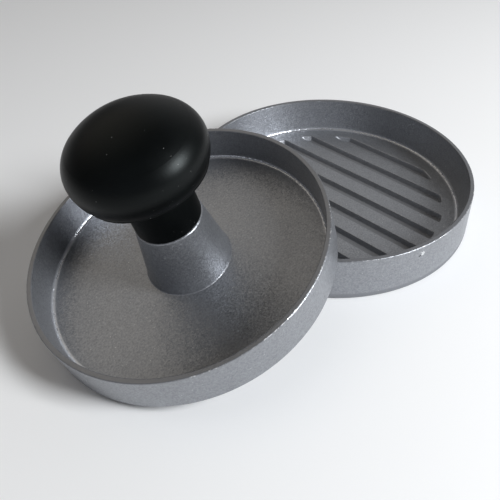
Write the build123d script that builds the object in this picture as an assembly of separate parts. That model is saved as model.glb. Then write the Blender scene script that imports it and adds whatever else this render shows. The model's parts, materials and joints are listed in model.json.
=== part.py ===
"""Patty press: a grooved round mould and a press plate with a screwed-on mushroom knob.

Frame: millimetres, +Z up. The mould stands on z = 0 with its axis on the origin. The press
plate leans at the mould's -X side, its lowest edge on the table and its underside on the rim.
The press, knob and fasteners are modelled upright, on their own axis, then placed together.
"""
from build123d import *
import math
import os

# Mould (the lower dish)
MOULD_RADIUS = 62.0
MOULD_HEIGHT = 19.2
MOULD_WALL_TOP = 1.9
MOULD_WALL_FOOT = 4.4
MOULD_FLOOR = 3.4
MOULD_FLOOR_FILLET = 1.0

# Press plate (the upper pan)
PRESS_RADIUS_TOP = 54.7
PRESS_RADIUS_FOOT = 55.0
PRESS_HEIGHT = 16.4
PRESS_WALL = 1.8
PRESS_WALL_FOOT = 2.9
PRESS_FLOOR = 2.0
PRESS_FLOOR_FILLET = 1.0

# Both castings
FOOT_ROUNDING = 1.2
RIM_ROUNDING = 0.4

# Grooves in the mould's floor and in the press plate's underside. MOULD_GROOVE_SLOPE is
# how far each side of the mould's grooves leans in from top to bottom.
GROOVE_COUNT = 8
GROOVE_PITCH = 12.4
GROOVE_WIDTH = 5.1
GROOVE_ANGLE = 2.4
GROOVE_CORNER = 0.8
GROOVE_EDGE_ROUNDING = 0.35
MOULD_GROOVE_DEPTH = 2.1
MOULD_GROOVE_SLOPE = 0.9
MOULD_GROOVE_REACH = 51.0
PRESS_GROOVE_DEPTH = 0.7
PRESS_GROOVE_REACH = 46.5

# Boss in the middle of the press plate
BOSS_RADIUS_BASE = 15.9
BOSS_RADIUS_TOP = 12.0
BOSS_TOP = 26.4
BOSS_BASE_FILLET = 0.5
BOSS_TOP_ROUNDING = 0.6

# Knob: neck and mushroom head in one moulding
SEAT_GAP = 0.05
NECK_RADIUS_FOOT = 11.8
NECK_RADIUS_TOP = 11.6
HEAD_RADIUS = 22.9
HEAD_EQUATOR = 56.4
HEAD_CROWN = 14.8
HEAD_SHOULDER_ARC = 10.0
HEAD_FLANK_ARC = 12.8
HEAD_EDGE = 49.7
HEAD_EDGE_DROP = 0.5
HEAD_EDGE_LIP = 1.0
HEAD_UNDERSIDE = 47.8
NECK_FILLET = 2.5

# Fasteners inside the knob and boss: an M8 stud, a moulded-in insert and a washer.
# THREAD_CREST is where each thread ring is flat on top, as shares of the pitch.
STUD_RADIUS = 3.95
STUD_ROOT_RADIUS = 3.35
STUD_PITCH = 1.25
THREAD_CREST = (0.45, 0.55)
STUD_FOOT = 13.9
STUD_LENGTH = 26.5
STUD_CLEARANCE = 0.1
BORE_DEPTH = 14.0
INSERT_RADIUS = 6.0
INSERT_LENGTH = 13.5
INSERT_GROOVE_DEPTH = 0.5
INSERT_GROOVE_WIDTH = 1.5
INSERT_GROOVE_COUNT = 2
MOULDING_CLEARANCE = 0.01
WASHER_RADIUS = 8.0
WASHER_BORE = 4.3
WASHER_THICKNESS = 1.0
COUNTERBORE_RADIUS = 8.4

# How the press leans on the mould's rim
LEAN = math.radians(15.5)
TABLE_GAP = 0.1
RIM_GAP = 0.2

NECK_FOOT = BOSS_TOP + SEAT_GAP
WASHER_FOOT = BOSS_TOP + SEAT_GAP
WASHER_TOP = WASHER_FOOT + WASHER_THICKNESS
INSERT_FOOT = WASHER_TOP + SEAT_GAP
SIZE_TOLERANCE = 0.01


def turned(*outline):
    """A solid of revolution about Z from straight-sided (radius, height) points."""
    return revolve(Plane.XZ * make_face(Polyline(*outline, close=True)), Axis.Z)


def rings(solid, radius, height):
    """The circular edges of a turned solid at one radius and one height."""
    return [
        edge
        for edge in solid.edges().filter_by(GeomType.CIRCLE)
        if abs(edge.radius - radius) < SIZE_TOLERANCE
        and abs(edge.arc_center.Z - height) < SIZE_TOLERANCE
    ]


def tube(outer, inner, foot, height):
    """A round tube that stands on the height foot."""
    ring = Circle(outer) - Circle(inner)
    return Pos(0, 0, foot) * extrude(ring, height)


def groove_sketch(reach, width=GROOVE_WIDTH):
    """Parallel bands, evenly spaced, whose ends follow a circle of radius reach."""
    bands = Sketch()
    for index in range(GROOVE_COUNT):
        offset = (index - (GROOVE_COUNT - 1) / 2) * GROOVE_PITCH
        if abs(offset) + width / 2 < reach:
            band = (Pos(offset, 0) * Rectangle(width, 2 * reach)) & Circle(reach)
            bands += fillet(band.vertices(), GROOVE_CORNER)
    return Rot(0, 0, GROOVE_ANGLE) * bands


def upper_groove_edges(solid, height):
    """The edges of the grooves where they break through the face at one height."""
    edges = solid.edges().filter_by_position(
        Axis.Z, height - SIZE_TOLERANCE, height + SIZE_TOLERANCE
    )
    return [edge for edge in edges if not edge.is_closed]


def base_mould():
    """The cast dish: a plain wall round a flat floor with recessed grooves."""
    dish = turned(
        (0, 0),
        (MOULD_RADIUS, 0),
        (MOULD_RADIUS, MOULD_HEIGHT),
        (MOULD_RADIUS - MOULD_WALL_TOP, MOULD_HEIGHT),
        (MOULD_RADIUS - MOULD_WALL_FOOT, MOULD_FLOOR),
        (0, MOULD_FLOOR),
    )
    corner = rings(dish, MOULD_RADIUS - MOULD_WALL_FOOT, MOULD_FLOOR)
    dish = fillet(corner, MOULD_FLOOR_FILLET)
    dish = fillet(rings(dish, MOULD_RADIUS, 0), FOOT_ROUNDING)
    rim = rings(dish, MOULD_RADIUS, MOULD_HEIGHT)
    rim += rings(dish, MOULD_RADIUS - MOULD_WALL_TOP, MOULD_HEIGHT)
    dish = fillet(rim, RIM_ROUNDING)
    tops = Pos(0, 0, MOULD_FLOOR) * groove_sketch(MOULD_GROOVE_REACH)
    narrowed = GROOVE_WIDTH - 2 * MOULD_GROOVE_SLOPE
    shortened = MOULD_GROOVE_REACH - MOULD_GROOVE_SLOPE
    feet = Pos(0, 0, MOULD_FLOOR - MOULD_GROOVE_DEPTH) * groove_sketch(shortened, narrowed)
    for top, foot in zip(tops.faces().sort_by(Axis.X), feet.faces().sort_by(Axis.X)):
        dish -= loft([foot, top], ruled=True)
    return fillet(upper_groove_edges(dish, MOULD_FLOOR), GROOVE_EDGE_ROUNDING)


def press_plate():
    """The cast pan: upstanding rim, conical boss with a blind bore, grooved underside."""
    pan = turned(
        (0, 0),
        (PRESS_RADIUS_FOOT, 0),
        (PRESS_RADIUS_TOP, PRESS_HEIGHT),
        (PRESS_RADIUS_TOP - PRESS_WALL, PRESS_HEIGHT),
        (PRESS_RADIUS_FOOT - PRESS_WALL_FOOT, PRESS_FLOOR),
        (BOSS_RADIUS_BASE, PRESS_FLOOR),
        (BOSS_RADIUS_TOP, BOSS_TOP),
        (0, BOSS_TOP),
    )
    corner = rings(pan, PRESS_RADIUS_FOOT - PRESS_WALL_FOOT, PRESS_FLOOR)
    pan = fillet(corner, PRESS_FLOOR_FILLET)
    pan = fillet(rings(pan, BOSS_RADIUS_BASE, PRESS_FLOOR), BOSS_BASE_FILLET)
    pan = fillet(rings(pan, BOSS_RADIUS_TOP, BOSS_TOP), BOSS_TOP_ROUNDING)
    pan = fillet(rings(pan, PRESS_RADIUS_FOOT, 0), FOOT_ROUNDING)
    rim = rings(pan, PRESS_RADIUS_TOP, PRESS_HEIGHT)
    rim += rings(pan, PRESS_RADIUS_TOP - PRESS_WALL, PRESS_HEIGHT)
    pan = fillet(rim, RIM_ROUNDING)
    bore_radius = STUD_RADIUS + STUD_CLEARANCE
    pan -= Pos(0, 0, BOSS_TOP - BORE_DEPTH) * extrude(Circle(bore_radius), BORE_DEPTH)
    pan -= extrude(groove_sketch(PRESS_GROOVE_REACH), PRESS_GROOVE_DEPTH)
    return fillet(upper_groove_edges(pan, 0), GROOVE_EDGE_ROUNDING)


def knob_face():
    """Half of the knob's section. The head is three tangent arcs: flank, shoulder, crown."""
    flank_turn = math.asin((HEAD_EQUATOR - HEAD_EDGE) / HEAD_FLANK_ARC)
    edge_radius = HEAD_RADIUS - HEAD_FLANK_ARC * (1 - math.cos(flank_turn))
    shoulder_centre = HEAD_RADIUS - HEAD_SHOULDER_ARC
    crown_arc = (shoulder_centre**2 + HEAD_CROWN**2 - HEAD_SHOULDER_ARC**2) / (
        2 * (HEAD_CROWN - HEAD_SHOULDER_ARC)
    )
    shoulder_turn = math.degrees(math.atan2(crown_arc - HEAD_CROWN, shoulder_centre))
    flank = CenterArc(
        (HEAD_RADIUS - HEAD_FLANK_ARC, HEAD_EQUATOR),
        HEAD_FLANK_ARC,
        -math.degrees(flank_turn),
        math.degrees(flank_turn),
    )
    shoulder = CenterArc((shoulder_centre, HEAD_EQUATOR), HEAD_SHOULDER_ARC, 0, shoulder_turn)
    crown_centre = (0, HEAD_EQUATOR + HEAD_CROWN - crown_arc)
    crown = CenterArc(crown_centre, crown_arc, shoulder_turn, 90 - shoulder_turn)
    underside_and_neck = Polyline(
        (edge_radius, HEAD_EDGE),
        (edge_radius, HEAD_EDGE - HEAD_EDGE_DROP),
        (edge_radius - HEAD_EDGE_LIP, HEAD_EDGE - HEAD_EDGE_DROP),
        (NECK_RADIUS_TOP, HEAD_UNDERSIDE),
        (NECK_RADIUS_FOOT, NECK_FOOT),
        (0, NECK_FOOT),
        (0, HEAD_EQUATOR + HEAD_CROWN),
    )
    return Plane.XZ * make_face(flank + shoulder + crown + underside_and_neck)


def knob():
    """The plastic moulding: head and neck, hollow below for the washer and the insert."""
    body = revolve(knob_face(), Axis.Z)
    body = fillet(rings(body, NECK_RADIUS_TOP, HEAD_UNDERSIDE), NECK_FILLET)
    body = fillet(rings(body, NECK_RADIUS_FOOT, NECK_FOOT), RIM_ROUNDING)
    counterbore_height = INSERT_FOOT - NECK_FOOT
    body -= Pos(0, 0, NECK_FOOT) * extrude(Circle(COUNTERBORE_RADIUS), counterbore_height)
    bore_height = INSERT_LENGTH + SEAT_GAP
    bore = extrude(Circle(INSERT_RADIUS + MOULDING_CLEARANCE), bore_height)
    return body - Pos(0, 0, INSERT_FOOT) * bore


def knob_insert():
    """The threaded brass bush in the knob's neck, with grooves that key it in."""
    bush = tube(INSERT_RADIUS, STUD_RADIUS + MOULDING_CLEARANCE, INSERT_FOOT, INSERT_LENGTH)
    for index in range(INSERT_GROOVE_COUNT):
        middle = INSERT_FOOT + (index + 1) / (INSERT_GROOVE_COUNT + 1) * INSERT_LENGTH
        groove = tube(
            INSERT_RADIUS + INSERT_GROOVE_DEPTH,
            INSERT_RADIUS - INSERT_GROOVE_DEPTH,
            middle - INSERT_GROOVE_WIDTH / 2,
            INSERT_GROOVE_WIDTH,
        )
        bush -= groove
    return bush


def knob_stud():
    """The steel stud. Its thread is a row of V rings at the thread's pitch."""
    outline = [(0, STUD_FOOT), (STUD_ROOT_RADIUS, STUD_FOOT)]
    count = int(STUD_LENGTH / STUD_PITCH)
    for index in range(count):
        foot = STUD_FOOT + index * STUD_PITCH
        for share in THREAD_CREST:
            outline.append((STUD_RADIUS, foot + share * STUD_PITCH))
        outline.append((STUD_ROOT_RADIUS, foot + STUD_PITCH))
    outline.append((0, STUD_FOOT + count * STUD_PITCH))
    return turned(*outline)


def boss_washer():
    """The flat washer that the knob clamps on the boss."""
    return tube(WASHER_RADIUS, WASHER_BORE, WASHER_FOOT, WASHER_THICKNESS)


def leaning_place():
    """Where the press stands: tilted by LEAN, low edge on the table, plate on the rim.

    The rounded foot rests on the table, and the flat underside rests on the rounded
    outer edge of the mould's rim.
    """
    sine, cosine = math.sin(LEAN), math.cos(LEAN)
    flat_radius = PRESS_RADIUS_FOOT - FOOT_ROUNDING
    height = flat_radius * sine + FOOT_ROUNDING * (1 - cosine) + TABLE_GAP
    edge_x = -(MOULD_RADIUS - RIM_ROUNDING)
    edge_z = MOULD_HEIGHT - RIM_ROUNDING
    centre_x = edge_x - ((edge_z - height) * cosine + RIM_ROUNDING + RIM_GAP) / sine
    return Location((centre_x, 0, height), (0, -math.degrees(LEAN), 0))


def write_parts():
    os.makedirs("parts", exist_ok=True)
    place = leaning_place()
    press_pieces = {
        "press_plate": press_plate(),
        "knob": knob(),
        "knob_insert": knob_insert(),
        "knob_stud": knob_stud(),
        "boss_washer": boss_washer(),
    }
    export_step(base_mould(), "parts/base_mould.step")
    for name, piece in press_pieces.items():
        export_step(place * piece, f"parts/{name}.step")
    print("press centre", place.position, "tilt", math.degrees(LEAN))


write_parts()
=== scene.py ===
"""Looks for the patty press: materials with their wear, the floor, the light and the camera."""
import json
import math

import bpy
from mathutils import Matrix, Vector


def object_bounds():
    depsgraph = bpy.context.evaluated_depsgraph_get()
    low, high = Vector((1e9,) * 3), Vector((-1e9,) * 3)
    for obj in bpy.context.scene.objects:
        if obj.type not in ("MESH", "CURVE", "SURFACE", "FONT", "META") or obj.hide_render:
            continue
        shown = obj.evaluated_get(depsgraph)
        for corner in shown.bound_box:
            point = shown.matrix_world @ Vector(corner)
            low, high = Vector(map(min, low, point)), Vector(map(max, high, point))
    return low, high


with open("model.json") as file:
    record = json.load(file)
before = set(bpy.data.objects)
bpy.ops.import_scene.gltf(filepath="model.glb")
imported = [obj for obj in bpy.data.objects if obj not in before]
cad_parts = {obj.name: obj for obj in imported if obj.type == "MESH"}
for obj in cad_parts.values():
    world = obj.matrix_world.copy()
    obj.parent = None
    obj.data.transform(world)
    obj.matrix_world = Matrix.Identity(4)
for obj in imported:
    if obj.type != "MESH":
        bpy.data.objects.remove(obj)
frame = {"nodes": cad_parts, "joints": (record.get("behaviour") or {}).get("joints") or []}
cad_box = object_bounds()

MM = 0.001

# The camera, in millimetres in the part's frame, and its lens
CAMERA_PLACE = Vector((-171.6, -138.1, 168.6))
CAMERA_RIGHT = Vector((0.69752, -0.71654, 0.00631))
CAMERA_FORWARD = Vector((0.58435, 0.56370, -0.58376))
SENSOR_WIDTH = 36.0
LENS = 42.93
CAMERA_SHIFT = (-0.0729, -0.1398)
CLIP_START = 0.01

# The floor
FLOOR_SIZE = 6.0
FLOOR_COLOUR = (0.86, 0.86, 0.86, 1)
FLOOR_ROUGHNESS = 0.8

# The window: bearing and rise in degrees and distance in metres from the spot it lights,
# its width and height in metres, its power in watts and its colour
WINDOW_PLACE = (-70, 34, 1.0)
WINDOW_TARGET = Vector((-0.04, 0, 0.02))
WINDOW_SIZE = (0.3, 0.44)
WINDOW_POWER = 13.6
WINDOW_COLOUR = (0.95, 0.975, 1.0)

# The room: its colour low down and high up, the heights (as a direction's Z) between which
# one turns into the other, and broad glows as bearing, rise and spread in degrees and colour.
# A glow is full over the middle GLOW_CORE of its spread.
ROOM_COLOURS = ((0.075, 0.077, 0.082), (0.02, 0.02, 0.02))
ROOM_HEIGHTS = (0.2, 0.9)
ROOM_GLOWS = (
    (30, 26, 45, (0.55, 0.55, 0.555)),
    (100, 50, 42, (0.65, 0.60, 0.53)),
    (-150, 12, 65, (0.33, 0.34, 0.37)),
)
GLOW_CORE = 0.2

# Where the values of a noise mostly lie
NOISE_SPAN = (0.3, 0.7)

# A vertex past this share of the largest radius is on a casting's outer wall
OUTER_SHARE = 0.9

# The coating of both castings. Pairs of colours are where its pattern is low and high.
FLAKE_SIZE = 0.7 * MM
FLAKE_COLOURS = ((0.22, 0.227, 0.243), (0.41, 0.423, 0.45))
FLAKE_BUMP = 0.01 * MM
MOTTLE_SIZE = 2.2 * MM
MOTTLE_COLOURS = ((0.275, 0.283, 0.302), (0.34, 0.351, 0.374))
MOTTLE_SHARE = 0.4
MOTTLE_BUMP = 0.015 * MM
CLOUD_SIZE = 22 * MM
FACET_SIZE = 0.4 * MM
FACET_TILT = 0.22
# colour of the painted glints: bright specks of highlight in the base colour
PAINTED_GLINT_COLOUR = (0.55, 0.56, 0.58)
DUST_COLOUR = (0.85, 0.85, 0.85)
COATING_METALLIC = 0.82
COATING_ROUGHNESS = (0.37, 0.44)

# How much rougher or smoother the coating is where it is worn, polished, dusty or deep in the
# grooves
WORN_ROUGHNESS = -0.10
POLISHED_ROUGHNESS = -0.14
DUST_ROUGHNESS = 0.3
GROOVE_ROUGHNESS = 0.14

# The mould's floor is this high. In the grooves the coating is darkened by painted shade and is
# rougher, starting and fully so at these depths below the floor.
MOULD_FLOOR = 3.4 * MM
GROOVE_SHADE_FROM = 0.3 * MM
GROOVE_SHADE_FULLY = 1.2 * MM
# colour of the painted shade in the grooves
GROOVE_SHADE_COLOUR = (0.26, 0.267, 0.284)

# The rim's top is duller than the rest. Each pair is where that starts and where it is full:
# how far in from the outer edge, and how far down from the top.
RIM_TOP_REACH = (3.0 * MM, 2.5 * MM)
RIM_TOP_DEPTH = (0.5 * MM, 0.1 * MM)
RIM_TOP_COLOUR = (0.24, 0.246, 0.262)

# The corner between floor and wall, polished by wiping and lightened by a painted highlight, as
# radius and height on each casting's own axis, and how far from it polish and highlight start and
# are full
MOULD_CORNER = (57.1 * MM, 3.8 * MM)
PRESS_CORNER = (51.7 * MM, 2.4 * MM)
HIGHLIGHT_AND_POLISH_REACH = (1.0 * MM, 0.4 * MM)
# colour of the painted highlight along the corner
CORNER_HIGHLIGHT_COLOUR = (0.57, 0.583, 0.612)

# Wear along the rim's outer edge: how wide it is at most, and the side where it is strong,
# as a direction in each casting's own plane. BREAKS are the noise values between which the
# line goes from none to full. PATCHES and SIDES map a broad noise, and how far round to the
# worn side a point is, to a share of the full width.
WEAR_WIDTH = 0.7 * MM
WEAR_BEARING = math.radians(-82)
WEAR_COLOUR = (0.72, 0.725, 0.73)
WEAR_BREAK_SIZE = 1.2 * MM
WEAR_BREAKS = (0.47, 0.70)
WEAR_PATCH_SIZE = 30 * MM
WEAR_PATCHES = (0.35, 0.6, 0.5, 1.0)
WEAR_SIDES = (0.55, 0.8, 0.12, 1.0)
WEAR_EDGE = (-0.05 * MM, 0.12 * MM)

# A knock in the coating of the mould's wall: a dark pit with a pale smear beside it
PIT = Vector((-17.5, -59.5, 15.1)) * MM
PIT_REACH = 2.3 * MM
PIT_COLOUR = (0.04, 0.04, 0.04)
SMEAR = PIT + Vector((1.2, -0.2, 0.5)) * MM
SMEAR_REACH = 2.8 * MM
SMEAR_COLOUR = (0.72, 0.73, 0.74)
FRAY_SIZE = 0.9 * MM
FRAY_DEPTH = 3.6 * MM
FRAY_EDGE = 0.3 * MM

# The knob's plastic
PLASTIC_COLOURS = ((0.0006, 0.0009, 0.0010), (0.0012, 0.0017, 0.0018))
PLASTIC_DUST_COLOUR = (0.2, 0.2, 0.195)
PLASTIC_ROUGHNESS = (0.34, 0.39)
PLASTIC_SPECULAR = 0.15
PLASTIC_TINT = (0.92, 1.0, 1.0, 1)
PLASTIC_GRAIN_SIZE = 0.6 * MM
PLASTIC_GRAIN_BUMP = 0.012 * MM
HAZE_SIZE = 12 * MM

# Turned metal: colour and roughness, and its fine rings, which change both
BRASS = ((0.72, 0.50, 0.20), 0.28)
PLATED_STEEL = ((0.58, 0.585, 0.60), 0.26)
RING_SIZE = 1 * MM
RING_STRETCH = (0.2, 0.2, 6.0)
RING_SHADE = 0.72
RING_ROUGHNESS = (-0.06, 0.08)
RING_BUMP = 0.01 * MM


def press_place():
    """Where the press plate's own axis and underside are, from the knob's joint."""
    turn = next(joint for joint in frame["joints"] if joint["name"] == "knob_turn")
    axis = Vector(turn["axis"]).normalized()
    across = Vector((0, 1, 0))
    side = across.cross(axis).normalized()
    place = Matrix((side, across, axis)).transposed().to_4x4()
    place.translation = Vector(turn["pos_m"])
    return place


def rim_edge(node, place):
    """The radius and height of a casting's outer rim edge, in its own upright frame."""
    to_local = place.inverted()
    points = [to_local @ vertex.co for vertex in frame["nodes"][node].data.vertices]
    reach = max(point.xy.length for point in points)
    outer = [point for point in points if point.xy.length > OUTER_SHARE * reach]
    height = max(point.z for point in outer)
    radius = max(point.xy.length for point in outer if point.z > height - MM)
    return radius, height


def new_material(name):
    """A new material with only a Principled shader and its output."""
    material = bpy.data.materials.new(name)
    material.use_nodes = True
    tree = material.node_tree
    tree.nodes.clear()
    output = tree.nodes.new("ShaderNodeOutputMaterial")
    shader = tree.nodes.new("ShaderNodeBsdfPrincipled")
    tree.links.new(shader.outputs["BSDF"], output.inputs["Surface"])
    return material, tree, shader


def local_coordinates(tree, place):
    """Object coordinates, turned into the piece's own upright frame."""
    coordinates = tree.nodes.new("ShaderNodeTexCoord")
    mapping = tree.nodes.new("ShaderNodeMapping")
    inverse = place.inverted()
    mapping.inputs["Location"].default_value = inverse.translation
    mapping.inputs["Rotation"].default_value = inverse.to_euler("XYZ")
    tree.links.new(coordinates.outputs["Object"], mapping.inputs["Vector"])
    return mapping.outputs["Vector"]


def feed(tree, socket, value):
    """Gives an input socket a number, a linear RGB triple or another node's output."""
    if isinstance(value, (int, float)):
        socket.default_value = value
    elif isinstance(value, tuple):
        socket.default_value = (*value, 1)
    else:
        tree.links.new(value, socket)


def noise(tree, vector, size, detail=2.0, roughness=0.5):
    """Noise whose features are about size metres across. Returns its 0 to 1 output."""
    node = tree.nodes.new("ShaderNodeTexNoise")
    node.inputs["Scale"].default_value = 1 / size
    node.inputs["Detail"].default_value = detail
    node.inputs["Roughness"].default_value = roughness
    tree.links.new(vector, node.inputs["Vector"])
    return node.outputs["Fac"]


def remap(tree, value, low, high, out_low=0.0, out_high=1.0):
    """Value from low to high, mapped and clamped to out_low to out_high."""
    node = tree.nodes.new("ShaderNodeMapRange")
    node.inputs["From Min"].default_value = low
    node.inputs["From Max"].default_value = high
    node.inputs["To Min"].default_value = out_low
    node.inputs["To Max"].default_value = out_high
    tree.links.new(value, node.inputs["Value"])
    return node.outputs["Result"]


def calculate(tree, operation, *values):
    """A math node on sockets or numbers."""
    node = tree.nodes.new("ShaderNodeMath")
    node.operation = operation
    for socket, value in zip(node.inputs, values):
        feed(tree, socket, value)
    return node.outputs["Value"]


def mix_color(tree, factor, first, second):
    """A colour mix. factor is a socket or a number, first and second sockets or RGB triples."""
    node = tree.nodes.new("ShaderNodeMix")
    node.data_type = "RGBA"
    feed(tree, node.inputs["Factor"], factor)
    for name, value in (("A", first), ("B", second)):
        socket = next(end for end in node.inputs if end.name == name and end.type == "RGBA")
        feed(tree, socket, value)
    return next(end for end in node.outputs if end.type == "RGBA")


def bump(tree, shader, layers, normal=None):
    """Stacks bump layers of (height socket, depth in metres) on the shader's normal."""
    for height, depth in layers:
        node = tree.nodes.new("ShaderNodeBump")
        node.inputs["Strength"].default_value = 1.0
        node.inputs["Distance"].default_value = depth
        tree.links.new(height, node.inputs["Height"])
        if normal is not None:
            tree.links.new(normal, node.inputs["Normal"])
        normal = node.outputs["Normal"]
    tree.links.new(normal, shader.inputs["Normal"])


def cells(tree, vector, size):
    """Voronoi cells of that size in metres: their node and three random shares."""
    node = tree.nodes.new("ShaderNodeTexVoronoi")
    node.inputs["Scale"].default_value = 1 / size
    tree.links.new(vector, node.inputs["Vector"])
    shares = tree.nodes.new("ShaderNodeSeparateColor")
    tree.links.new(node.outputs["Color"], shares.inputs["Color"])
    return node, shares.outputs


def specks(tree, vector, size, share, radius):
    """A 0 to 1 mask of round specks with soft edges.

    share of the cells have one, and a speck's radius, in cell sizes, is from half to all of
    radius. The cells are chosen by a very narrow ramp, which is nearly a cut-off.
    """
    node, shares = cells(tree, vector, size)
    chosen = remap(tree, shares["Red"], 1 - share, 1 - 0.98 * share)
    varied = remap(tree, shares["Green"], 0, 1, 0.5 * radius, radius)
    near = calculate(tree, "SUBTRACT", varied, node.outputs["Distance"])
    return calculate(tree, "MULTIPLY", chosen, remap(tree, near, 0, 0.25 * radius))


def vector_math(tree, operation, *values):
    """A vector math node on sockets or triples."""
    node = tree.nodes.new("ShaderNodeVectorMath")
    node.operation = operation
    for socket, value in zip(node.inputs, values):
        if isinstance(value, (tuple, Vector)):
            socket.default_value = value
        else:
            tree.links.new(value, socket)
    return node.outputs


def facet_normal(tree, vector):
    """The surface normal with each small facet of the coating turned a little at random."""
    node, _ = cells(tree, vector, FACET_SIZE)
    centred = vector_math(tree, "SUBTRACT", node.outputs["Color"], (0.5, 0.5, 0.5))["Vector"]
    normal = tree.nodes.new("ShaderNodeNewGeometry").outputs["Normal"]
    tilt = (FACET_TILT, FACET_TILT, FACET_TILT)
    tilted = vector_math(tree, "MULTIPLY_ADD", centred, tilt, normal)["Vector"]
    return vector_math(tree, "NORMALIZE", tilted)["Vector"]


def ring_distance(tree, radius, z, ring):
    """How far a point is from a ring round the axis, the larger of radially and in height."""
    ring_radius, ring_height = ring
    across = calculate(tree, "ABSOLUTE", calculate(tree, "SUBTRACT", radius, ring_radius))
    along = calculate(tree, "ABSOLUTE", calculate(tree, "SUBTRACT", z, ring_height))
    return calculate(tree, "MAXIMUM", across, along)


def rim_top(tree, radius, z, rim):
    """A mask of the flat top of the rim."""
    rim_radius, rim_height = rim
    outside = remap(tree, radius, *(rim_radius - reach for reach in RIM_TOP_REACH))
    high = remap(tree, z, *(rim_height - depth for depth in RIM_TOP_DEPTH))
    return calculate(tree, "MULTIPLY", outside, high)


def rim_wear(tree, local, axes, radius, rim):
    """A mask of a narrow broken line where the rim's outer edge has lost its coating."""
    x, y, z = axes
    ragged = noise(tree, local, WEAR_BREAK_SIZE, detail=4.0, roughness=0.75)
    spread = noise(tree, local, WEAR_PATCH_SIZE)
    along = calculate(tree, "MULTIPLY", x, math.cos(WEAR_BEARING) / rim[0])
    side = calculate(tree, "MULTIPLY_ADD", y, math.sin(WEAR_BEARING) / rim[0], along)
    patchy = remap(tree, spread, *WEAR_PATCHES)
    sided = remap(tree, side, *WEAR_SIDES)
    broken = remap(tree, ragged, *WEAR_BREAKS, 0.0, WEAR_WIDTH)
    width = calculate(tree, "MULTIPLY", broken, calculate(tree, "MULTIPLY", patchy, sided))
    inside = calculate(tree, "SUBTRACT", width, ring_distance(tree, radius, z, rim))
    return remap(tree, inside, *WEAR_EDGE)


def add_knock(tree, local, base):
    """The base colour with the pale smear and the dark pit of the knock, both with frayed edges."""
    frayed = calculate(tree, "MULTIPLY", noise(tree, local, FRAY_SIZE, detail=3.0), FRAY_DEPTH)
    for spot, reach, colour in (
        (SMEAR, SMEAR_REACH, SMEAR_COLOUR),
        (PIT, PIT_REACH, PIT_COLOUR),
    ):
        distance = vector_math(tree, "DISTANCE", local, spot)["Value"]
        away = calculate(tree, "ADD", distance, frayed)
        base = mix_color(tree, remap(tree, away, reach, reach - FRAY_EDGE), base, colour)
    return base


def coated_aluminium(name, place, rim, corner, recess=None, knocked=False):
    """Silver-grey flake coating on cast aluminium, worn bare along the rim's outer edge.

    rim is the outer rim edge's radius and height, and corner those of the polished corner with its
    painted highlight.
    recess is the height below which the coating gets painted shade and is rougher. knocked adds the
    knock.
    """
    material, tree, shader = new_material(name)
    local = local_coordinates(tree, place)
    separate = tree.nodes.new("ShaderNodeSeparateXYZ")
    tree.links.new(local, separate.inputs["Vector"])
    x, y, z = (separate.outputs[axis] for axis in "XYZ")
    x_squared = calculate(tree, "MULTIPLY", x, x)
    y_squared = calculate(tree, "MULTIPLY", y, y)
    radius = calculate(tree, "SQRT", calculate(tree, "ADD", x_squared, y_squared))

    # Grain: flakes of the coating over a soft mottle, with a few painted glints, specks of
    # highlight in the colour
    flakes = noise(tree, local, FLAKE_SIZE, roughness=0.7)
    mottle = noise(tree, local, MOTTLE_SIZE, detail=3.0, roughness=0.6)
    grain = mix_color(tree, remap(tree, flakes, *NOISE_SPAN), *FLAKE_COLOURS)
    tone = mix_color(tree, remap(tree, mottle, *NOISE_SPAN), *MOTTLE_COLOURS)
    base = mix_color(tree, MOTTLE_SHARE, grain, tone)
    painted_glints = specks(tree, local, size=0.6 * MM, share=0.03, radius=0.4)
    base = mix_color(tree, painted_glints, base, PAINTED_GLINT_COLOUR)

    corner_highlight_and_polish = remap(tree, ring_distance(tree, radius, z, corner), *HIGHLIGHT_AND_POLISH_REACH)
    dust = specks(tree, local, size=7 * MM, share=0.06, radius=0.05)
    worn = rim_wear(tree, local, (x, y, z), radius, rim)
    clouds = noise(tree, local, CLOUD_SIZE)
    rough = remap(tree, clouds, *NOISE_SPAN, *COATING_ROUGHNESS)
    rough = calculate(tree, "MULTIPLY_ADD", worn, WORN_ROUGHNESS, rough)
    rough = calculate(tree, "MULTIPLY_ADD", corner_highlight_and_polish, POLISHED_ROUGHNESS, rough)
    rough = calculate(tree, "MULTIPLY_ADD", dust, DUST_ROUGHNESS, rough)
    if recess is not None:
        # painted shade: deep in the grooves the base colour is darkened, and the coating is made
        # rougher
        groove_shade_mask = remap(tree, z, recess - GROOVE_SHADE_FROM, recess - GROOVE_SHADE_FULLY)
        base = mix_color(tree, groove_shade_mask, base, GROOVE_SHADE_COLOUR)
        rough = calculate(tree, "MULTIPLY_ADD", groove_shade_mask, GROOVE_ROUGHNESS, rough)
    base = mix_color(tree, rim_top(tree, radius, z, rim), base, RIM_TOP_COLOUR)
    # painted highlight: the base colour along the polished corner is lightened
    base = mix_color(tree, corner_highlight_and_polish, base, CORNER_HIGHLIGHT_COLOUR)
    base = mix_color(tree, dust, base, DUST_COLOUR)
    base = mix_color(tree, worn, base, WEAR_COLOUR)
    if knocked:
        base = add_knock(tree, local, base)

    tree.links.new(base, shader.inputs["Base Color"])
    shader.inputs["Metallic"].default_value = COATING_METALLIC
    tree.links.new(rough, shader.inputs["Roughness"])
    layers = [(mottle, MOTTLE_BUMP), (flakes, FLAKE_BUMP)]
    bump(tree, shader, layers, facet_normal(tree, local))
    return material


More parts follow.
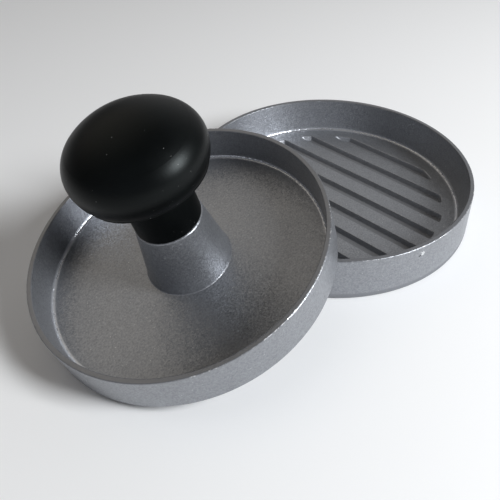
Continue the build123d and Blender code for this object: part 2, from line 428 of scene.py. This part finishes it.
def black_plastic(place):
    """Satin black moulded plastic with a fine texture, a faint haze and dust."""
    material, tree, shader = new_material("black_plastic")
    local = local_coordinates(tree, place)
    haze = noise(tree, local, HAZE_SIZE, detail=3.0, roughness=0.6)
    dust = specks(tree, local, size=1.1 * MM, share=0.11, radius=0.11)
    base = mix_color(tree, remap(tree, haze, 0.35, 0.7), *PLASTIC_COLOURS)
    base = mix_color(tree, dust, base, PLASTIC_DUST_COLOUR)
    tree.links.new(base, shader.inputs["Base Color"])
    rough = remap(tree, haze, *NOISE_SPAN, *PLASTIC_ROUGHNESS)
    tree.links.new(rough, shader.inputs["Roughness"])
    shader.inputs["Specular IOR Level"].default_value = PLASTIC_SPECULAR
    shader.inputs["Specular Tint"].default_value = PLASTIC_TINT
    bump(tree, shader, [(noise(tree, local, PLASTIC_GRAIN_SIZE), PLASTIC_GRAIN_BUMP)])
    return material


def turned_metal(name, place, colour, roughness):
    """Turned metal: fine rings round the axis that catch the light."""
    material, tree, shader = new_material(name)
    local = local_coordinates(tree, place)
    stretch = tree.nodes.new("ShaderNodeMapping")
    stretch.inputs["Scale"].default_value = RING_STRETCH
    tree.links.new(local, stretch.inputs["Vector"])
    rings = noise(tree, stretch.outputs["Vector"], RING_SIZE, detail=3.0)
    darker = tuple(RING_SHADE * channel for channel in colour)
    base = mix_color(tree, remap(tree, rings, *NOISE_SPAN), darker, colour)
    tree.links.new(base, shader.inputs["Base Color"])
    shader.inputs["Metallic"].default_value = 1.0
    rough = remap(tree, rings, *NOISE_SPAN, *(roughness + change for change in RING_ROUGHNESS))
    tree.links.new(rough, shader.inputs["Roughness"])
    bump(tree, shader, [(rings, RING_BUMP)])
    return material


def dress(node, material):
    """Gives a CAD node's object the material in every slot."""
    piece = frame["nodes"][node]
    for slot in piece.material_slots:
        slot.material = material


def dress_castings():
    """The coating on the mould, which stands upright, and on the leaning press plate."""
    upright = Matrix.Identity(4)
    lean = press_place()
    mould_rim = rim_edge("base_mould", upright)
    press_rim = rim_edge("press_plate", lean)
    mould_coating = coated_aluminium(
        "mould_coating", upright, mould_rim, MOULD_CORNER, recess=MOULD_FLOOR, knocked=True
    )
    dress("base_mould", mould_coating)
    dress("press_plate", coated_aluminium("press_coating", lean, press_rim, PRESS_CORNER))


def dress_handle():
    """The knob's plastic, the brass insert, and the plated steel stud and washer."""
    lean = press_place()
    dress("knob", black_plastic(lean))
    dress("knob_insert", turned_metal("turned_brass", lean, *BRASS))
    plated_steel = turned_metal("plated_steel", lean, *PLATED_STEEL)
    dress("knob_stud", plated_steel)
    dress("boss_washer", plated_steel)


def add_floor():
    """A large pale floor under the mould."""
    bpy.ops.mesh.primitive_plane_add(size=FLOOR_SIZE, location=(0, 0, cad_box[0][2]))
    floor = bpy.context.object
    floor.name = "floor"
    material, _, shader = new_material("floor_white")
    shader.inputs["Base Color"].default_value = FLOOR_COLOUR
    shader.inputs["Roughness"].default_value = FLOOR_ROUGHNESS
    floor.data.materials.append(material)


def toward(azimuth, elevation, distance):
    """A step of that distance in a direction given in degrees, azimuth from +X to +Y."""
    turn, rise = math.radians(azimuth), math.radians(elevation)
    flat = math.cos(rise)
    return distance * Vector((flat * math.cos(turn), flat * math.sin(turn), math.sin(rise)))


def add_window():
    """A soft window at the front right."""
    light = bpy.data.lights.new("key_window", "AREA")
    light.shape = "RECTANGLE"
    light.size, light.size_y = WINDOW_SIZE
    light.energy = WINDOW_POWER
    light.color = WINDOW_COLOUR
    lamp = bpy.data.objects.new("key_window", light)
    lamp.location = WINDOW_TARGET + toward(*WINDOW_PLACE)
    lamp.rotation_euler = (WINDOW_TARGET - lamp.location).to_track_quat("-Z", "Y").to_euler()
    bpy.context.scene.collection.objects.link(lamp)


def add_room():
    """A dim room with broad glows for the coating to reflect."""
    world = bpy.data.worlds.new("studio")
    world.use_nodes = True
    tree = world.node_tree
    direction = tree.nodes.new("ShaderNodeTexCoord").outputs["Generated"]
    separate = tree.nodes.new("ShaderNodeSeparateXYZ")
    tree.links.new(direction, separate.inputs["Vector"])
    height = remap(tree, separate.outputs["Z"], *ROOM_HEIGHTS)
    room = mix_color(tree, height, *ROOM_COLOURS)
    for bearing, rise, spread, colour in ROOM_GLOWS:
        facing = vector_math(tree, "DOT_PRODUCT", direction, toward(bearing, rise, 1))["Value"]
        edge = math.cos(math.radians(spread))
        core = math.cos(math.radians(GLOW_CORE * spread))
        room = mix_color(tree, remap(tree, facing, edge, core), room, colour)
    tree.links.new(room, tree.nodes["Background"].inputs["Color"])
    bpy.context.scene.world = world


def add_camera():
    """The camera. The standard view transform keeps the knob's black and the metal's greys."""
    data = bpy.data.cameras.new("camera")
    data.sensor_width = SENSOR_WIDTH
    data.lens = LENS
    data.shift_x, data.shift_y = CAMERA_SHIFT
    data.clip_start = CLIP_START
    camera = bpy.data.objects.new("camera", data)
    forward = CAMERA_FORWARD.normalized()
    right = (CAMERA_RIGHT - CAMERA_RIGHT.dot(forward) * forward).normalized()
    up = right.cross(forward)
    turn = Matrix((right, up, -forward)).transposed().to_4x4()
    camera.matrix_world = Matrix.Translation(CAMERA_PLACE * MM) @ turn
    bpy.context.scene.collection.objects.link(camera)
    bpy.context.scene.camera = camera
    bpy.context.scene.view_settings.view_transform = "Standard"


dress_castings()
dress_handle()
add_floor()
add_window()
add_room()
add_camera()
